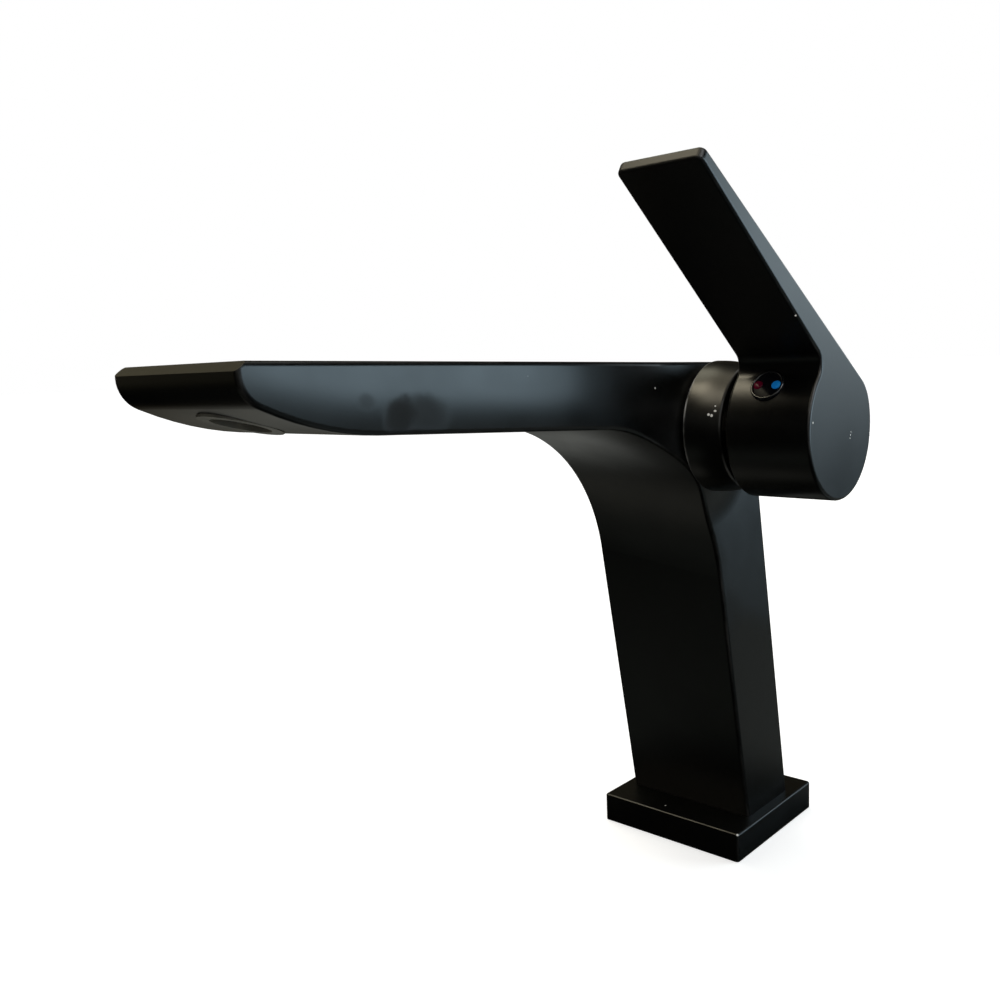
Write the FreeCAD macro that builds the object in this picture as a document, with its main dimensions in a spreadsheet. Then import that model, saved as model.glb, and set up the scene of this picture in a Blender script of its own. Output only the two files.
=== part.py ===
import FreeCAD, Part
import Sketcher
import math
import os

# Basin mixer tap with a side lever, in millimetres.
# Origin: middle of the base plate's underside. +Z is up, the spout points along -Y, the lever sits on +X.

Vector = FreeCAD.Vector

dimensions = {
    # base plate and its seal
    "plate_side": 50,
    "plate_height": 9,
    "plate_corner": 1,
    "plate_edge": 0.6,
    "groove_radius": 21.1,
    "groove_width": 2.6,
    "groove_depth": 1.6,
    # inlet block in the foot
    "block_length": 36,
    "block_width": 18,
    "block_corner": 6,
    "block_height": 18,
    "block_lift": 4,
    "inlet_spacing": 22,
    "inlet_radius": 4.5,
    "inlet_depth": 12,
    "passage_radius": 3.2,
    "stud_radius": 3.4,
    "stud_depth": 13,
    "block_screw_radius": 1.5,
    "block_screw_head": 2.6,
    "block_screw_recess": 2.2,
    "block_screw_grip": 7,
    "block_screw_x": 5.6,
    "block_screw_y": 6,
    # column and spout
    "body_width": 43.4,
    "foot_front": 12.2,
    "foot_depth": 26.2,
    "front_lean": 10.8,
    "back_lean": 9.65,
    "back_radius": 6,
    "tip_reach": 188.1,
    "tip_height": 156.9,
    "tip_slope": 2.4,
    "tip_drop": 1.8,
    "tip_corner": 1.7,
    "top_rise": 1.5,
    "nose_height": 6.7,
    "nose_radius": 6.9,
    "chin_angle": 66,
    "spout_depth": 13.4,
    "under_rise": 3.4,
    "inner_radius": 52,
    "boss_inner_radius": 61,
    "bow_fill": 0.97,
    "edge_radius": 1.1,
    # flared boss on the side
    "axis_back": 0.83,
    "axis_rise": 0.43,
    "flare_rise": 3.5,
    "flare_length": 14.5,
    "cove_fill": 0.999,
    "rim_radius": 15.2,
    "spigot_radius": 14.5,
    "spigot_length": 5,
    # cartridge
    "bore_radius": 12.5,
    "nut_radius": 13.2,
    "nut_length": 6,
    "nut_slot_width": 3,
    "nut_slot_depth": 2,
    "nut_slots": 4,
    "neck_radius": 9.5,
    "neck_length": 9,
    "neck_wall": 1.5,
    "shoulder_wall": 1.9,
    "cavity_radius": 11,
    "base_height": 4,
    "port_radius": 2.3,
    "port_circle": 6.2,
    "port_seal_width": 1.3,
    "port_seal_height": 1.2,
    "seal_squeeze": 0.2,
    "disc_height": 4,
    "moving_disc_radius": 9,
    "mixing_radius": 5,
    "mixing_offset": 3.6,
    "mixing_depth": 1.5,
    "carrier_height": 5,
    "carrier_play": 0.4,
    "flange_radius": 10,
    "flange_height": 1.4,
    "rotor_proud": 0.5,
    "rotor_slot": 12.2,
    "ring_ledge": 1,
    "ring_width": 1.4,
    "ring_depth": 1.1,
    "pivot_depth": 6,
    "pin_radius": 1.5,
    "crank_arm": 9,
    "tilt_range": 22,
    "toe_radius": 2.2,
    "toe_gap": 0.15,
    "stem_neck": 3.2,
    "stem_side": 6,
    "stem_round": 1.2,
    "stem_end_gap": 0.6,
    # collar
    "collar_length": 10.8,
    "collar_radius": 18.3,
    "collar_crown": 18.1,
    "collar_crown_x": 5.5,
    "collar_end": 16.7,
    "collar_bend": 24,
    "collar_edge": 1,
    "collar_rim": 0.6,
    "collar_lip": 2,
    "collar_mouth": 13.2,
    # handle
    "lever_angle": 38,
    "blade_angle": 31.9,
    "lever_gap": 1.4,
    "handle_radius": 18.9,
    "handle_width": 24.1,
    "handle_wall": 2,
    "handle_cavity": 6.5,
    "handle_edge": 0.8,
    "socket_depth": 11,
    "lever_reach": 89,
    "blade_top": 17.2,
    "blade_root": 9.4,
    "blade_end": 3,
    "blade_corner": 1.6,
    "blade_taper": 3.1,
    "root_fillet": 4,
    "back_blend": 12,
    # screw and index plug
    "screw_radius": 2.5,
    "screw_length": 6,
    "screw_key": 1.25,
    "screw_key_depth": 2.5,
    "plug_inset": 11,
    "plug_radius": 4.4,
    "plug_height": 2.4,
    "plug_sink": 0.3,
    "plug_edge": 0.5,
    "mark_radius": 1.2,
    "mark_spacing": 4.9,
    "mark_depth": 0.5,
    # aerator
    "aerator_ahead": 3.5,
    "aerator_radius": 8.6,
    "aerator_proud": 0.1,
    "shell_height": 7.2,
    "shell_wall": 1.6,
    "shell_lip": 0.9,
    "shell_lip_height": 1.2,
    "screen_height": 1.6,
    "screen_hole": 0.5,
    "screen_pitch": 1.95,
    "screen_holes": 6,
    "core_ring": 5,
    "core_height": 3.4,
    "core_hole": 0.7,
    "core_holes": 12,
    "aerator_seal_height": 1.2,
    "aerator_seal_width": 2,
    # clearances
    "fit_gap": 0.05,
    "run_gap": 0.08,
}

doc = FreeCAD.newDocument("basin_mixer")
dims = doc.addObject("Spreadsheet::Sheet", "dims")
for row, (alias, value) in enumerate(dimensions.items(), start=1):
    dims.set(f"A{row}", alias)
    dims.set(f"B{row}", str(value))
    dims.setAlias(f"B{row}", alias)
scratch_cell = doc.addObject("Spreadsheet::Sheet", "scratch_cell")
doc.recompute()

# Places along the cartridge's axis, measured in +X from the middle of the body.
rim_x = "(dims.body_width / 2 + dims.flare_rise)"
spigot_x = f"({rim_x} + dims.spigot_length)"
shoulder_x = f"({spigot_x} - dims.nut_length)"
ceiling_x = f"({shoulder_x} - dims.shoulder_wall)"
flange_x = f"({ceiling_x} - dims.run_gap - dims.flange_height)"
carrier_top_x = f"({flange_x} - dims.carrier_play)"
carrier_x = f"({carrier_top_x} - dims.carrier_height)"
disc_x = f"({carrier_x} - dims.disc_height)"
base_top_x = f"({disc_x} - dims.disc_height)"
base_x = f"({base_top_x} - dims.base_height)"
floor_x = f"({base_x} - dims.seal_squeeze)"
neck_x = f"({shoulder_x} + dims.neck_length)"
pivot_x = f"({neck_x} - dims.pivot_depth)"
toe_x = f"({pivot_x} - dims.crank_arm)"
collar_x = f"({rim_x} + dims.collar_length)"
handle_x = f"({collar_x} + dims.lever_gap)"
cavity_x = f"({handle_x} + dims.handle_cavity)"
socket_x = f"({cavity_x} + dims.socket_depth)"
stem_x = f"({socket_x} - dims.stem_end_gap)"
plug_x = f"({handle_x} + dims.plug_inset)"
handle_end_x = f"({handle_x} + dims.handle_width)"
inner_slope = "(dims.blade_taper / (dims.lever_reach + dims.handle_radius))"

# Turn of the blade's outer face from the plane that the lever tilts in.
blade_turn = "(dims.lever_angle - dims.blade_angle)"

# Radii shared by pieces that fit into one another.
housing_radius = "(dims.bore_radius - dims.run_gap)"
neck_bore = "(dims.neck_radius - dims.neck_wall)"
rotor_radius = f"({neck_bore} - dims.run_gap)"
ring_radius = f"({rotor_radius} - dims.ring_depth)"
port_angles = (0, 120, 240)
disc_rest = "(dims.crank_arm * sin(dims.tilt_range) / 2)"
plug_face = "(dims.handle_radius - dims.plug_sink)"
plug_seat = f"({plug_face} - dims.plug_height)"

# Lines of the body's side view.
foot_middle = "(dims.foot_depth / 2 - dims.foot_front)"
foot_back = "(dims.foot_depth - dims.foot_front)"
under_start = "(dims.tip_height - dims.spout_depth)"
chin_run = "((dims.spout_depth - dims.nose_height) / (1 / tan(dims.chin_angle) - tan(dims.under_rise)))"
bow_turn = "(90 - dims.under_rise - dims.chin_angle)"
bow_room = f"({chin_run} / sin(dims.chin_angle) - dims.nose_radius * tan(dims.chin_angle / 2))"
bow_radius = f"(dims.bow_fill * {bow_room} / tan({bow_turn} / 2))"
crown_z = (
    f"((dims.tip_height - ({foot_back} + dims.plate_height * tan(dims.back_lean) + dims.tip_reach)"
    " * tan(dims.top_rise)) / (1 - tan(dims.back_lean) * tan(dims.top_rise)))"
)
crown_y = f"({foot_back} - ({crown_z} - dims.plate_height) * tan(dims.back_lean))"
bend_z = (
    f"(({under_start} - (dims.tip_reach - dims.foot_front + dims.plate_height * tan(dims.front_lean))"
    " * tan(dims.under_rise)) / (1 - tan(dims.front_lean) * tan(dims.under_rise)))"
)
bend_y = f"(-dims.foot_front - ({bend_z} - dims.plate_height) * tan(dims.front_lean))"
block_top_z = "(dims.block_lift + dims.block_height)"

# The cartridge's axis keeps its place beside the inner bend.
axis_y = f"({bend_y} + dims.axis_back)"
axis_z = f"({bend_z} + dims.axis_rise)"

# The aerator stands square to the bow under the spout's tip. Its own heights count from its rim.
chin_y = f"({chin_run} - dims.tip_reach)"
chin_z = f"({under_start} - {chin_run} * tan(dims.under_rise))"
bow_middle = "((dims.under_rise + 90 - dims.chin_angle) / 2)"
bow_depth = f"({bow_radius} / cos({bow_turn} / 2))"
outlet_turn = f"({bow_middle} + dims.aerator_ahead / {bow_radius} * 180 / pi)"
outlet_reach = f"({bow_radius} + dims.aerator_proud)"
outlet_y = f"({chin_y} + {bow_depth} * sin({bow_middle}) - {outlet_reach} * sin({outlet_turn}))"
outlet_z = f"({chin_z} + {bow_depth} * cos({bow_middle}) - {outlet_reach} * cos({outlet_turn}))"
shell_top = "dims.shell_height"
aerator_depth = "(dims.shell_height + dims.aerator_seal_height)"
screen_low = "dims.shell_lip_height"
core_low = "(dims.shell_lip_height + dims.screen_height)"
screen_rings = (1, 2, 3)
insert_radius = "(dims.aerator_radius - dims.shell_wall - dims.fit_gap)"


def number(rule):
    scratch_cell.set("A1", f"={rule}")
    scratch_cell.recompute()
    return float(scratch_cell.get("A1"))


def add_body(label):
    body = doc.addObject("PartDesign::Body", label)
    body.Label = label
    return body


def add_sketch(body, role, lift="0", shift="0", turn=None, turn_axis=Vector(0, 0, 1)):
    # Sketch on a plane of the body, lifted off it, shifted along its second axis and turned.
    sketch = body.newObject("Sketcher::SketchObject", f"{body.Name}_sketch")
    plane = next(feature for feature in body.Origin.OriginFeatures if feature.Role == role)
    sketch.AttachmentSupport = (plane, [""])
    sketch.MapMode = "FlatFace"
    if turn:
        rotation = FreeCAD.Rotation(turn_axis, number(turn))
        sketch.AttachmentOffset = FreeCAD.Placement(Vector(0, 0, 0), rotation)
        sketch.setExpression("AttachmentOffset.Rotation.Angle", turn)
    sketch.setExpression("AttachmentOffset.Base.y", shift)
    sketch.setExpression("AttachmentOffset.Base.z", lift)
    return sketch


def tie(sketch, kind, places, rule):
    index = sketch.addConstraint(Sketcher.Constraint(kind, *places, number(rule)))
    sketch.setExpression(f"Constraints[{index}]", rule)


def pin_point(sketch, geometry, place, corner):
    tie(sketch, "DistanceX", (-1, 1, geometry, place), corner[0])
    tie(sketch, "DistanceY", (-1, 1, geometry, place), corner[1])


def add_circle(sketch, radius, centre=("0", "0")):
    middle = Vector(number(centre[0]), number(centre[1]), 0)
    circle = sketch.addGeometry(Part.Circle(middle, Vector(0, 0, 1), number(radius)))
    pin_point(sketch, circle, 3, centre)
    tie(sketch, "Radius", (circle,), radius)


def corner_arc(before, corner, after, radius):
    # Tangent arc in a corner: its geometry, and which of its ends meet the lines before and after it.
    inward = (corner - before).normalize()
    outward = (after - corner).normalize()
    turn = math.atan2(inward.x * outward.y - inward.y * outward.x, inward.dot(outward))
    reach = radius * math.tan(abs(turn) / 2)
    side = math.copysign(1, turn)
    start = corner - inward * reach
    end = corner + outward * reach
    centre = start + Vector(-inward.y, inward.x, 0) * (side * radius)
    first, last = (start, end) if side > 0 else (end, start)
    begin_angle = math.atan2(first.y - centre.y, first.x - centre.x)
    end_angle = math.atan2(last.y - centre.y, last.x - centre.x)
    if end_angle < begin_angle:
        end_angle += 2 * math.pi
    arc = Part.ArcOfCircle(Part.Circle(centre, Vector(0, 0, 1), radius), begin_angle, end_angle)
    return arc, start, end, (1, 2) if side > 0 else (2, 1)


def add_outline(sketch, corners, rounds=None):
    # Closed outline through its sharp corners. rounds gives the radius of each rounded one.
    rounds = rounds or {}
    points = [Vector(number(u), number(v), 0) for u, v in corners]
    count = len(points)
    arcs = {
        spot: corner_arc(points[spot - 1], points[spot], points[(spot + 1) % count], number(radius))
        for spot, radius in rounds.items()
    }
    lines = []
    for spot in range(count):
        after = (spot + 1) % count
        start = arcs[spot][2] if spot in arcs else points[spot]
        end = arcs[after][1] if after in arcs else points[after]
        lines.append(sketch.addGeometry(Part.LineSegment(start, end)))
    for spot, corner in enumerate(corners):
        before, after = lines[spot - 1], lines[spot]
        if spot not in arcs:
            sketch.addConstraint(Sketcher.Constraint("Coincident", before, 2, after, 1))
            pin_point(sketch, after, 1, corner)
            continue
        shape, _, _, (entry, leave) = arcs[spot]
        arc = sketch.addGeometry(shape)
        sharp = sketch.addGeometry(Part.Point(points[spot]), True)
        pin_point(sketch, sharp, 1, corner)
        sketch.addConstraint(Sketcher.Constraint("PointOnObject", sharp, 1, before))
        sketch.addConstraint(Sketcher.Constraint("PointOnObject", sharp, 1, after))
        sketch.addConstraint(Sketcher.Constraint("Tangent", before, 2, arc, entry))
        sketch.addConstraint(Sketcher.Constraint("Tangent", arc, leave, after, 1))
        tie(sketch, "Radius", (arc,), rounds[spot])


def add_rectangle(sketch, length, width, centre=("0", "0"), corner=None):
    left, right = f"{centre[0]} - {length} / 2", f"{centre[0]} + {length} / 2"
    low, high = f"{centre[1]} - {width} / 2", f"{centre[1]} + {width} / 2"
    rounds = {spot: corner for spot in range(4)} if corner else None
    add_outline(sketch, [(left, low), (right, low), (right, high), (left, high)], rounds)


def add_pad(body, sketch, length, midplane=False):
    pad = body.newObject("PartDesign::Pad", f"{body.Name}_pad")
    pad.Profile = (sketch, [""])
    pad.setExpression("Length", length)
    pad.Midplane = midplane
    doc.recompute()
    return pad


def add_pocket(body, sketch, depth, reverse=False, midplane=False):
    # Cut that has to take material away.
    volume = body.Shape.Volume
    pocket = body.newObject("PartDesign::Pocket", f"{body.Name}_pocket")
    pocket.Profile = (sketch, [""])
    pocket.setExpression("Length", depth)
    pocket.Reversed = reverse
    pocket.Midplane = midplane
    doc.recompute()
    if body.Shape.Volume > volume - 1e-6:
        raise ValueError(f"{pocket.Name} cuts nothing")
    return pocket


def add_turning(body, sketch, axis, kind="Revolution"):
    turning = body.newObject(f"PartDesign::{kind}", f"{body.Name}_{kind.lower()}")
    turning.Profile = (sketch, [""])
    turning.ReferenceAxis = (sketch, [axis])
    turning.Angle = 360
    doc.recompute()
    return turning


def add_round(body, kind, size_name, size, wanted):
    # Fillet or chamfer on the edges of the body's last feature that are wanted.
    base = body.Tip
    names = [f"Edge{spot}" for spot, edge in enumerate(base.Shape.Edges, start=1) if wanted(edge)]
    if not names:
        raise ValueError(f"{body.Name} has no such edge")
    feature = body.newObject(f"PartDesign::{kind}", f"{body.Name}_{kind.lower()}")
    feature.Base = (base, names)
    feature.setExpression(size_name, size)
    doc.recompute()
    return feature


def is_near(value, target):
    return abs(value - target) < 1e-4


def along_x_at(y, z):
    # Test for an edge that runs along X at this place in the side view.
    def wanted(edge):
        box = edge.BoundBox
        flat = box.YLength < 1e-6 and box.ZLength < 1e-6
        return flat and math.hypot(box.Center.y - y, box.Center.z - z) < 0.05
    return wanted


def place(body, x="0", y="0", z="0"):
    for axis, rule in zip("xyz", (x, y, z)):
        body.setExpression(f"Placement.Base.{axis}", rule)


def place_on_axis(body):
    # On the cartridge's axis, turned about it until the local -Y points along the lever's blade.
    body.Placement.Rotation = FreeCAD.Rotation(Vector(-1, 0, 0), number("dims.lever_angle"))
    body.setExpression("Placement.Rotation.Angle", "dims.lever_angle")
    place(body, y=axis_y, z=axis_z)


def place_at_outlet(body):
    # At the aerator's rim, turned until the local +Z points square into the bow.
    body.Placement.Rotation = FreeCAD.Rotation(Vector(-1, 0, 0), number(outlet_turn))
    body.setExpression("Placement.Rotation.Angle", outlet_turn)
    place(body, y=outlet_y, z=outlet_z)


def turned_on_axis(label, corners, rounds=None):
    # Piece turned about the cartridge's axis. Corners are (x, radius).
    body = add_body(label)
    sketch = add_sketch(body, "XY_Plane")
    add_outline(sketch, corners, rounds)
    add_turning(body, sketch, "H_Axis")
    place_on_axis(body)
    return body


def turned_upright(label, corners, rounds=None):
    # Piece turned about a vertical axis. Corners are (radius, z).
    body = add_body(label)
    sketch = add_sketch(body, "XZ_Plane")
    add_outline(sketch, corners, rounds)
    add_turning(body, sketch, "V_Axis")
    return body


def port_places(radius="dims.port_circle"):
    # Outlet behind the axis and two inlets ahead of it, in the (y, z) of the cartridge.
    return [(f"{radius} * cos({angle})", f"{radius} * sin({angle})") for angle in port_angles]


def make_base_plate():
    body = add_body("base_plate")
    square = add_sketch(body, "XY_Plane")
    add_rectangle(square, "dims.plate_side", "dims.plate_side", corner="dims.plate_corner")
    add_pad(body, square, "dims.plate_height")
    top = number("dims.plate_height")
    add_round(body, "Fillet", "Radius", "dims.plate_edge", lambda edge: is_near(edge.BoundBox.ZMin, top))
    opening = add_sketch(body, "XY_Plane")
    gap = "dims.fit_gap"
    add_rectangle(
        opening, f"(dims.block_length + 2 * {gap})", f"(dims.block_width + 2 * {gap})",
        ("0", foot_middle), f"(dims.block_corner + {gap})",
    )
    add_pocket(body, opening, "dims.plate_height", reverse=True)
    groove = add_sketch(body, "XY_Plane")
    add_circle(groove, "dims.groove_radius + dims.groove_width / 2")
    add_circle(groove, "dims.groove_radius - dims.groove_width / 2")
    add_pocket(body, groove, "dims.groove_depth", reverse=True)
    return body


def make_base_seal():
    inner = "(dims.groove_radius - dims.groove_width / 2 + dims.fit_gap)"
    outer = "(dims.groove_radius + dims.groove_width / 2 - dims.fit_gap)"
    corners = [(inner, "0"), (outer, "0"), (outer, "dims.groove_depth"), (inner, "dims.groove_depth")]
    return turned_upright("base_seal", corners)


def block_screw_places():
    return [
        ("dims.block_screw_x", "dims.block_screw_y"),
        ("-dims.block_screw_x", "-dims.block_screw_y"),
    ]


def make_inlet_block():
    body = add_body("inlet_block")
    block = add_sketch(body, "XY_Plane")
    add_rectangle(block, "dims.block_length", "dims.block_width", corner="dims.block_corner")
    add_pad(body, block, "dims.block_height")
    inlets = add_sketch(body, "XY_Plane")
    passages = add_sketch(body, "XY_Plane")
    for side in ("-", ""):
        spot = (f"{side}dims.inlet_spacing / 2", "0")
        add_circle(inlets, "dims.inlet_radius", spot)
        add_circle(passages, "dims.passage_radius", spot)
    add_pocket(body, inlets, "dims.inlet_depth", reverse=True)
    add_pocket(body, passages, "dims.block_height", reverse=True)
    stud = add_sketch(body, "XY_Plane")
    add_circle(stud, "dims.stud_radius")
    add_pocket(body, stud, "dims.stud_depth", reverse=True)
    shanks = add_sketch(body, "XY_Plane")
    heads = add_sketch(body, "XY_Plane")
    for spot in block_screw_places():
        add_circle(shanks, "dims.block_screw_radius + dims.fit_gap", spot)
        add_circle(heads, "dims.block_screw_head + dims.fit_gap", spot)
    add_pocket(body, shanks, "dims.block_height", reverse=True)
    add_pocket(body, heads, "dims.block_screw_recess", reverse=True)
    place(body, y=foot_middle, z="dims.block_lift")
    return body


def make_block_screws():
    # Two cap screws, driven from below.
    screws = []
    for spot, (x, y) in enumerate(block_screw_places()):
        shank = "(dims.block_screw_radius)"
        end = f"({block_top_z} + dims.block_screw_grip)"
        seat = "(dims.block_lift + dims.block_screw_recess)"
        corners = [
            ("0", "dims.block_lift"), ("dims.block_screw_head", "dims.block_lift"),
            ("dims.block_screw_head", seat), (shank, seat), (shank, end), ("0", end),
        ]
        body = turned_upright(f"block_screw_{spot + 1}", corners)
        place(body, x, f"{foot_middle} + {y}")
        screws.append(body)
    group = doc.addObject("Part::Compound", "block_screws")
    group.Links = screws
    return group


def add_side_view(body, lift, inner_radius):
    side = add_sketch(body, "YZ_Plane", lift)
    profile = [
        (("-dims.foot_front", "dims.plate_height"), None),
        ((foot_back, "dims.plate_height"), None),
        ((crown_y, crown_z), "dims.back_radius"),
        (("-dims.tip_reach", "dims.tip_height"), "dims.tip_corner"),
        (("-dims.tip_reach", "dims.tip_height - dims.nose_height"), "dims.nose_radius"),
        ((chin_y, chin_z), bow_radius),
        ((bend_y, bend_z), inner_radius),
    ]
    rounds = {spot: radius for spot, (_, radius) in enumerate(profile) if radius}
    add_outline(side, [corner for corner, _ in profile], rounds)
    return side


def make_spout_body():
    # The curve below the spout opens out towards the side that carries the cartridge.
    body = add_body("spout_body")
    far_side = add_side_view(body, "-dims.body_width / 2", "dims.inner_radius")
    boss_side = add_side_view(body, spigot_x, "dims.boss_inner_radius")
    loft = body.newObject("PartDesign::AdditiveLoft", "spout_body_loft")
    loft.Profile = (far_side, [""])
    loft.Sections = [(boss_side, [""])]
    loft.Ruled = True
    doc.recompute()
    carve_flare(body)
    half = number("dims.body_width / 2")
    foot = number("dims.plate_height")
    seat = number("dims.rim_radius")

    def is_long_edge(edge):
        # Edge between a side and the outline, apart from the foot.
        faces = body.Tip.Shape.ancestorsOfType(edge, Part.Face)
        tilts = []
        for face in faces:
            low_u, high_u, low_v, high_v = face.ParameterRange
            tilts.append(abs(face.normalAt((low_u + high_u) / 2, (low_v + high_v) / 2).x))
        box = edge.BoundBox
        inner = box.XMin > half and max(box.YLength, box.ZLength) < 2 * seat + 0.1 and box.XLength < 1e-6
        return len(tilts) == 2 and min(tilts) < 0.1 < 0.5 < max(tilts) and box.ZMax > foot + 0.1 and not inner

    add_round(body, "Fillet", "Radius", "dims.edge_radius", is_long_edge)
    bevel_tip(body)
    bore_casting(body)
    return body


def bevel_tip(body):
    # Flat bevel across the top of the tip.
    bevel = add_sketch(body, "YZ_Plane")
    high_z = "dims.tip_height + dims.tip_drop"
    front_y = "-dims.tip_reach - dims.tip_slope"
    corners = [
        (front_y, "dims.tip_height - 2 * dims.tip_drop"),
        ("2 * dims.tip_slope - dims.tip_reach", high_z),
        (front_y, high_z),
    ]
    add_outline(bevel, corners)
    add_pocket(body, bevel, "2 * dims.body_width", midplane=True)


def bore_casting(body):
    # Cartridge chamber, nut thread, pocket for the inlet block, its screw holes and the aerator's thread.
    axis = (axis_y, axis_z)
    chamber = add_sketch(body, "YZ_Plane", floor_x)
    add_circle(chamber, "dims.bore_radius", axis)
    add_pocket(body, chamber, f"{spigot_x} - {floor_x}", reverse=True)
    thread = add_sketch(body, "YZ_Plane", shoulder_x)
    add_circle(thread, "dims.nut_radius", axis)
    add_pocket(body, thread, "dims.nut_length", reverse=True)
    pocket = add_sketch(body, "XY_Plane", "dims.plate_height")
    gap = "dims.fit_gap"
    add_rectangle(
        pocket, f"(dims.block_length + 2 * {gap})", f"(dims.block_width + 2 * {gap})",
        ("0", foot_middle), f"(dims.block_corner + {gap})",
    )
    add_pocket(body, pocket, f"{block_top_z} - dims.plate_height", reverse=True)
    holes = add_sketch(body, "XY_Plane", block_top_z)
    for x, y in block_screw_places():
        add_circle(holes, f"dims.block_screw_radius + {gap}", (x, f"{foot_middle} + {y}"))
    add_pocket(body, holes, "dims.block_screw_grip", reverse=True)
    outlet = add_sketch(body, "XY_Plane", outlet_z, outlet_y, outlet_turn, Vector(-1, 0, 0))
    add_circle(outlet, "dims.aerator_radius")
    add_pocket(body, outlet, aerator_depth, reverse=True)


def carve_flare(body):
    # Everything beyond the side is cut away but a coved flare round the cartridge and its threaded spigot.
    sketch = add_sketch(body, "XY_Plane", axis_z, axis_y)
    side_x = "(dims.body_width / 2)"
    foot_radius = "(dims.rim_radius + dims.flare_length)"
    cove = "((dims.flare_length ^ 2 + dims.flare_rise ^ 2) / (2 * dims.flare_rise))"
    far = "(2 * dims.tip_reach)"
    beyond = f"({spigot_x} + dims.spigot_length)"
    bend_radius = f"({foot_radius} - {cove} * tan(asin(dims.flare_length / {cove}) / 2))"
    corners = [
        (side_x, far), (side_x, bend_radius), (rim_x, "dims.rim_radius"),
        (rim_x, "dims.spigot_radius"), (beyond, "dims.spigot_radius"), (beyond, far),
    ]
    add_outline(sketch, corners, {1: f"({cove} * dims.cove_fill)"})
    volume = body.Shape.Volume
    add_turning(body, sketch, "H_Axis", "Groove")
    if body.Shape.Volume > volume - 1:
        raise ValueError("the flare cuts nothing")


def make_collar():
    inner = "(dims.spigot_radius + dims.fit_gap)"
    lip_x = f"({collar_x} - dims.collar_lip)"
    corners = [
        (rim_x, inner), (rim_x, "dims.collar_radius"),
        (f"{rim_x} + dims.collar_crown_x", "dims.collar_crown"), (collar_x, "dims.collar_end"),
        (collar_x, "dims.collar_mouth"), (lip_x, "dims.collar_mouth"), (lip_x, inner),
    ]
    rounds = {1: "dims.collar_rim", 2: "dims.collar_bend", 3: "dims.collar_edge"}
    return turned_on_axis("collar", corners, rounds)


def make_retaining_nut():
    inner = "(dims.neck_radius + dims.run_gap)"
    outer = "(dims.nut_radius - dims.fit_gap)"
    body = turned_on_axis(
        "retaining_nut", [(shoulder_x, inner), (shoulder_x, outer), (spigot_x, outer), (spigot_x, inner)]
    )
    slot = add_sketch(body, "YZ_Plane", spigot_x)
    add_rectangle(slot, "dims.nut_radius", "dims.nut_slot_width", ("dims.nut_radius", "0"))
    cut = add_pocket(body, slot, "dims.nut_slot_depth")
    repeat_round(body, cut, "X_Axis", "dims.nut_slots")
    return body


def repeat_round(body, feature, role, count):
    pattern = body.newObject("PartDesign::PolarPattern", f"{body.Name}_pattern")
    pattern.Originals = [feature]
    axis = next(item for item in body.Origin.OriginFeatures if item.Role == role)
    pattern.Axis = (axis, [""])
    pattern.Angle = 360
    pattern.setExpression("Occurrences", count)
    body.Tip = pattern
    doc.recompute()


def make_cartridge_housing():
    corners = [
        (base_top_x, "dims.cavity_radius"), (base_top_x, housing_radius), (shoulder_x, housing_radius),
        (shoulder_x, "dims.neck_radius"), (neck_x, "dims.neck_radius"), (neck_x, neck_bore),
        (ceiling_x, neck_bore), (ceiling_x, "dims.cavity_radius"),
    ]
    return turned_on_axis("cartridge_housing", corners)


def make_cartridge_base():
    corners = [(base_x, "0"), (base_x, housing_radius), (base_top_x, housing_radius), (base_top_x, "0")]
    body = turned_on_axis("cartridge_base", corners)
    ports = add_sketch(body, "YZ_Plane", base_x)
    seats = add_sketch(body, "YZ_Plane", base_x)
    for spot in port_places():
        add_circle(ports, "dims.port_radius", spot)
        add_circle(seats, "dims.port_radius + dims.port_seal_width", spot)
    add_pocket(body, ports, "dims.base_height", reverse=True)
    add_pocket(body, seats, "dims.port_seal_height - dims.seal_squeeze", reverse=True)
    return body


def make_port_seals():
    rings = []
    for spot, centre in enumerate(port_places()):
        body = add_body(f"port_seal_{spot + 1}")
        ring = add_sketch(body, "YZ_Plane", floor_x)
        add_circle(ring, "dims.port_radius", centre)
        add_circle(ring, "dims.port_radius + dims.port_seal_width - dims.fit_gap", centre)
        add_pad(body, ring, "dims.port_seal_height")
        place_on_axis(body)
        rings.append(body)
    group = doc.addObject("Part::Compound", "port_seals")
    group.Links = rings
    return group


def make_fixed_disc():
    radius = "(dims.cavity_radius - dims.fit_gap)"
    body = turned_on_axis(
        "fixed_disc", [(base_top_x, "0"), (base_top_x, radius), (disc_x, radius), (disc_x, "0")]
    )
    ports = add_sketch(body, "YZ_Plane", base_top_x)
    for spot in port_places():
        add_circle(ports, "dims.port_radius", spot)
    add_pocket(body, ports, "dims.disc_height", reverse=True)
    return body


def make_moving_disc():
    # Shut at rest: half a stroke behind the axis, its mixing recess clear of the inlets.
    body = add_body("moving_disc")
    disc = add_sketch(body, "YZ_Plane", disc_x)
    add_circle(disc, "dims.moving_disc_radius", (disc_rest, "0"))
    add_pad(body, disc, "dims.disc_height")
    recess = add_sketch(body, "YZ_Plane", disc_x)
    add_circle(recess, "dims.mixing_radius", ("dims.mixing_offset", "0"))
    add_pocket(body, recess, "dims.mixing_depth", reverse=True)
    place_on_axis(body)
    return body


def make_disc_carrier():
    body = add_body("disc_carrier")
    disc = add_sketch(body, "YZ_Plane", carrier_x)
    add_circle(disc, "dims.moving_disc_radius", (disc_rest, "0"))
    add_pad(body, disc, "dims.carrier_height")
    slot = add_sketch(body, "YZ_Plane", carrier_x)
    width = "(2 * (dims.toe_radius + dims.toe_gap))"
    add_rectangle(slot, width, "(dims.stem_side + 4 * dims.toe_gap)")
    add_pocket(body, slot, "dims.carrier_height", reverse=True)
    place_on_axis(body)
    return body


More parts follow.
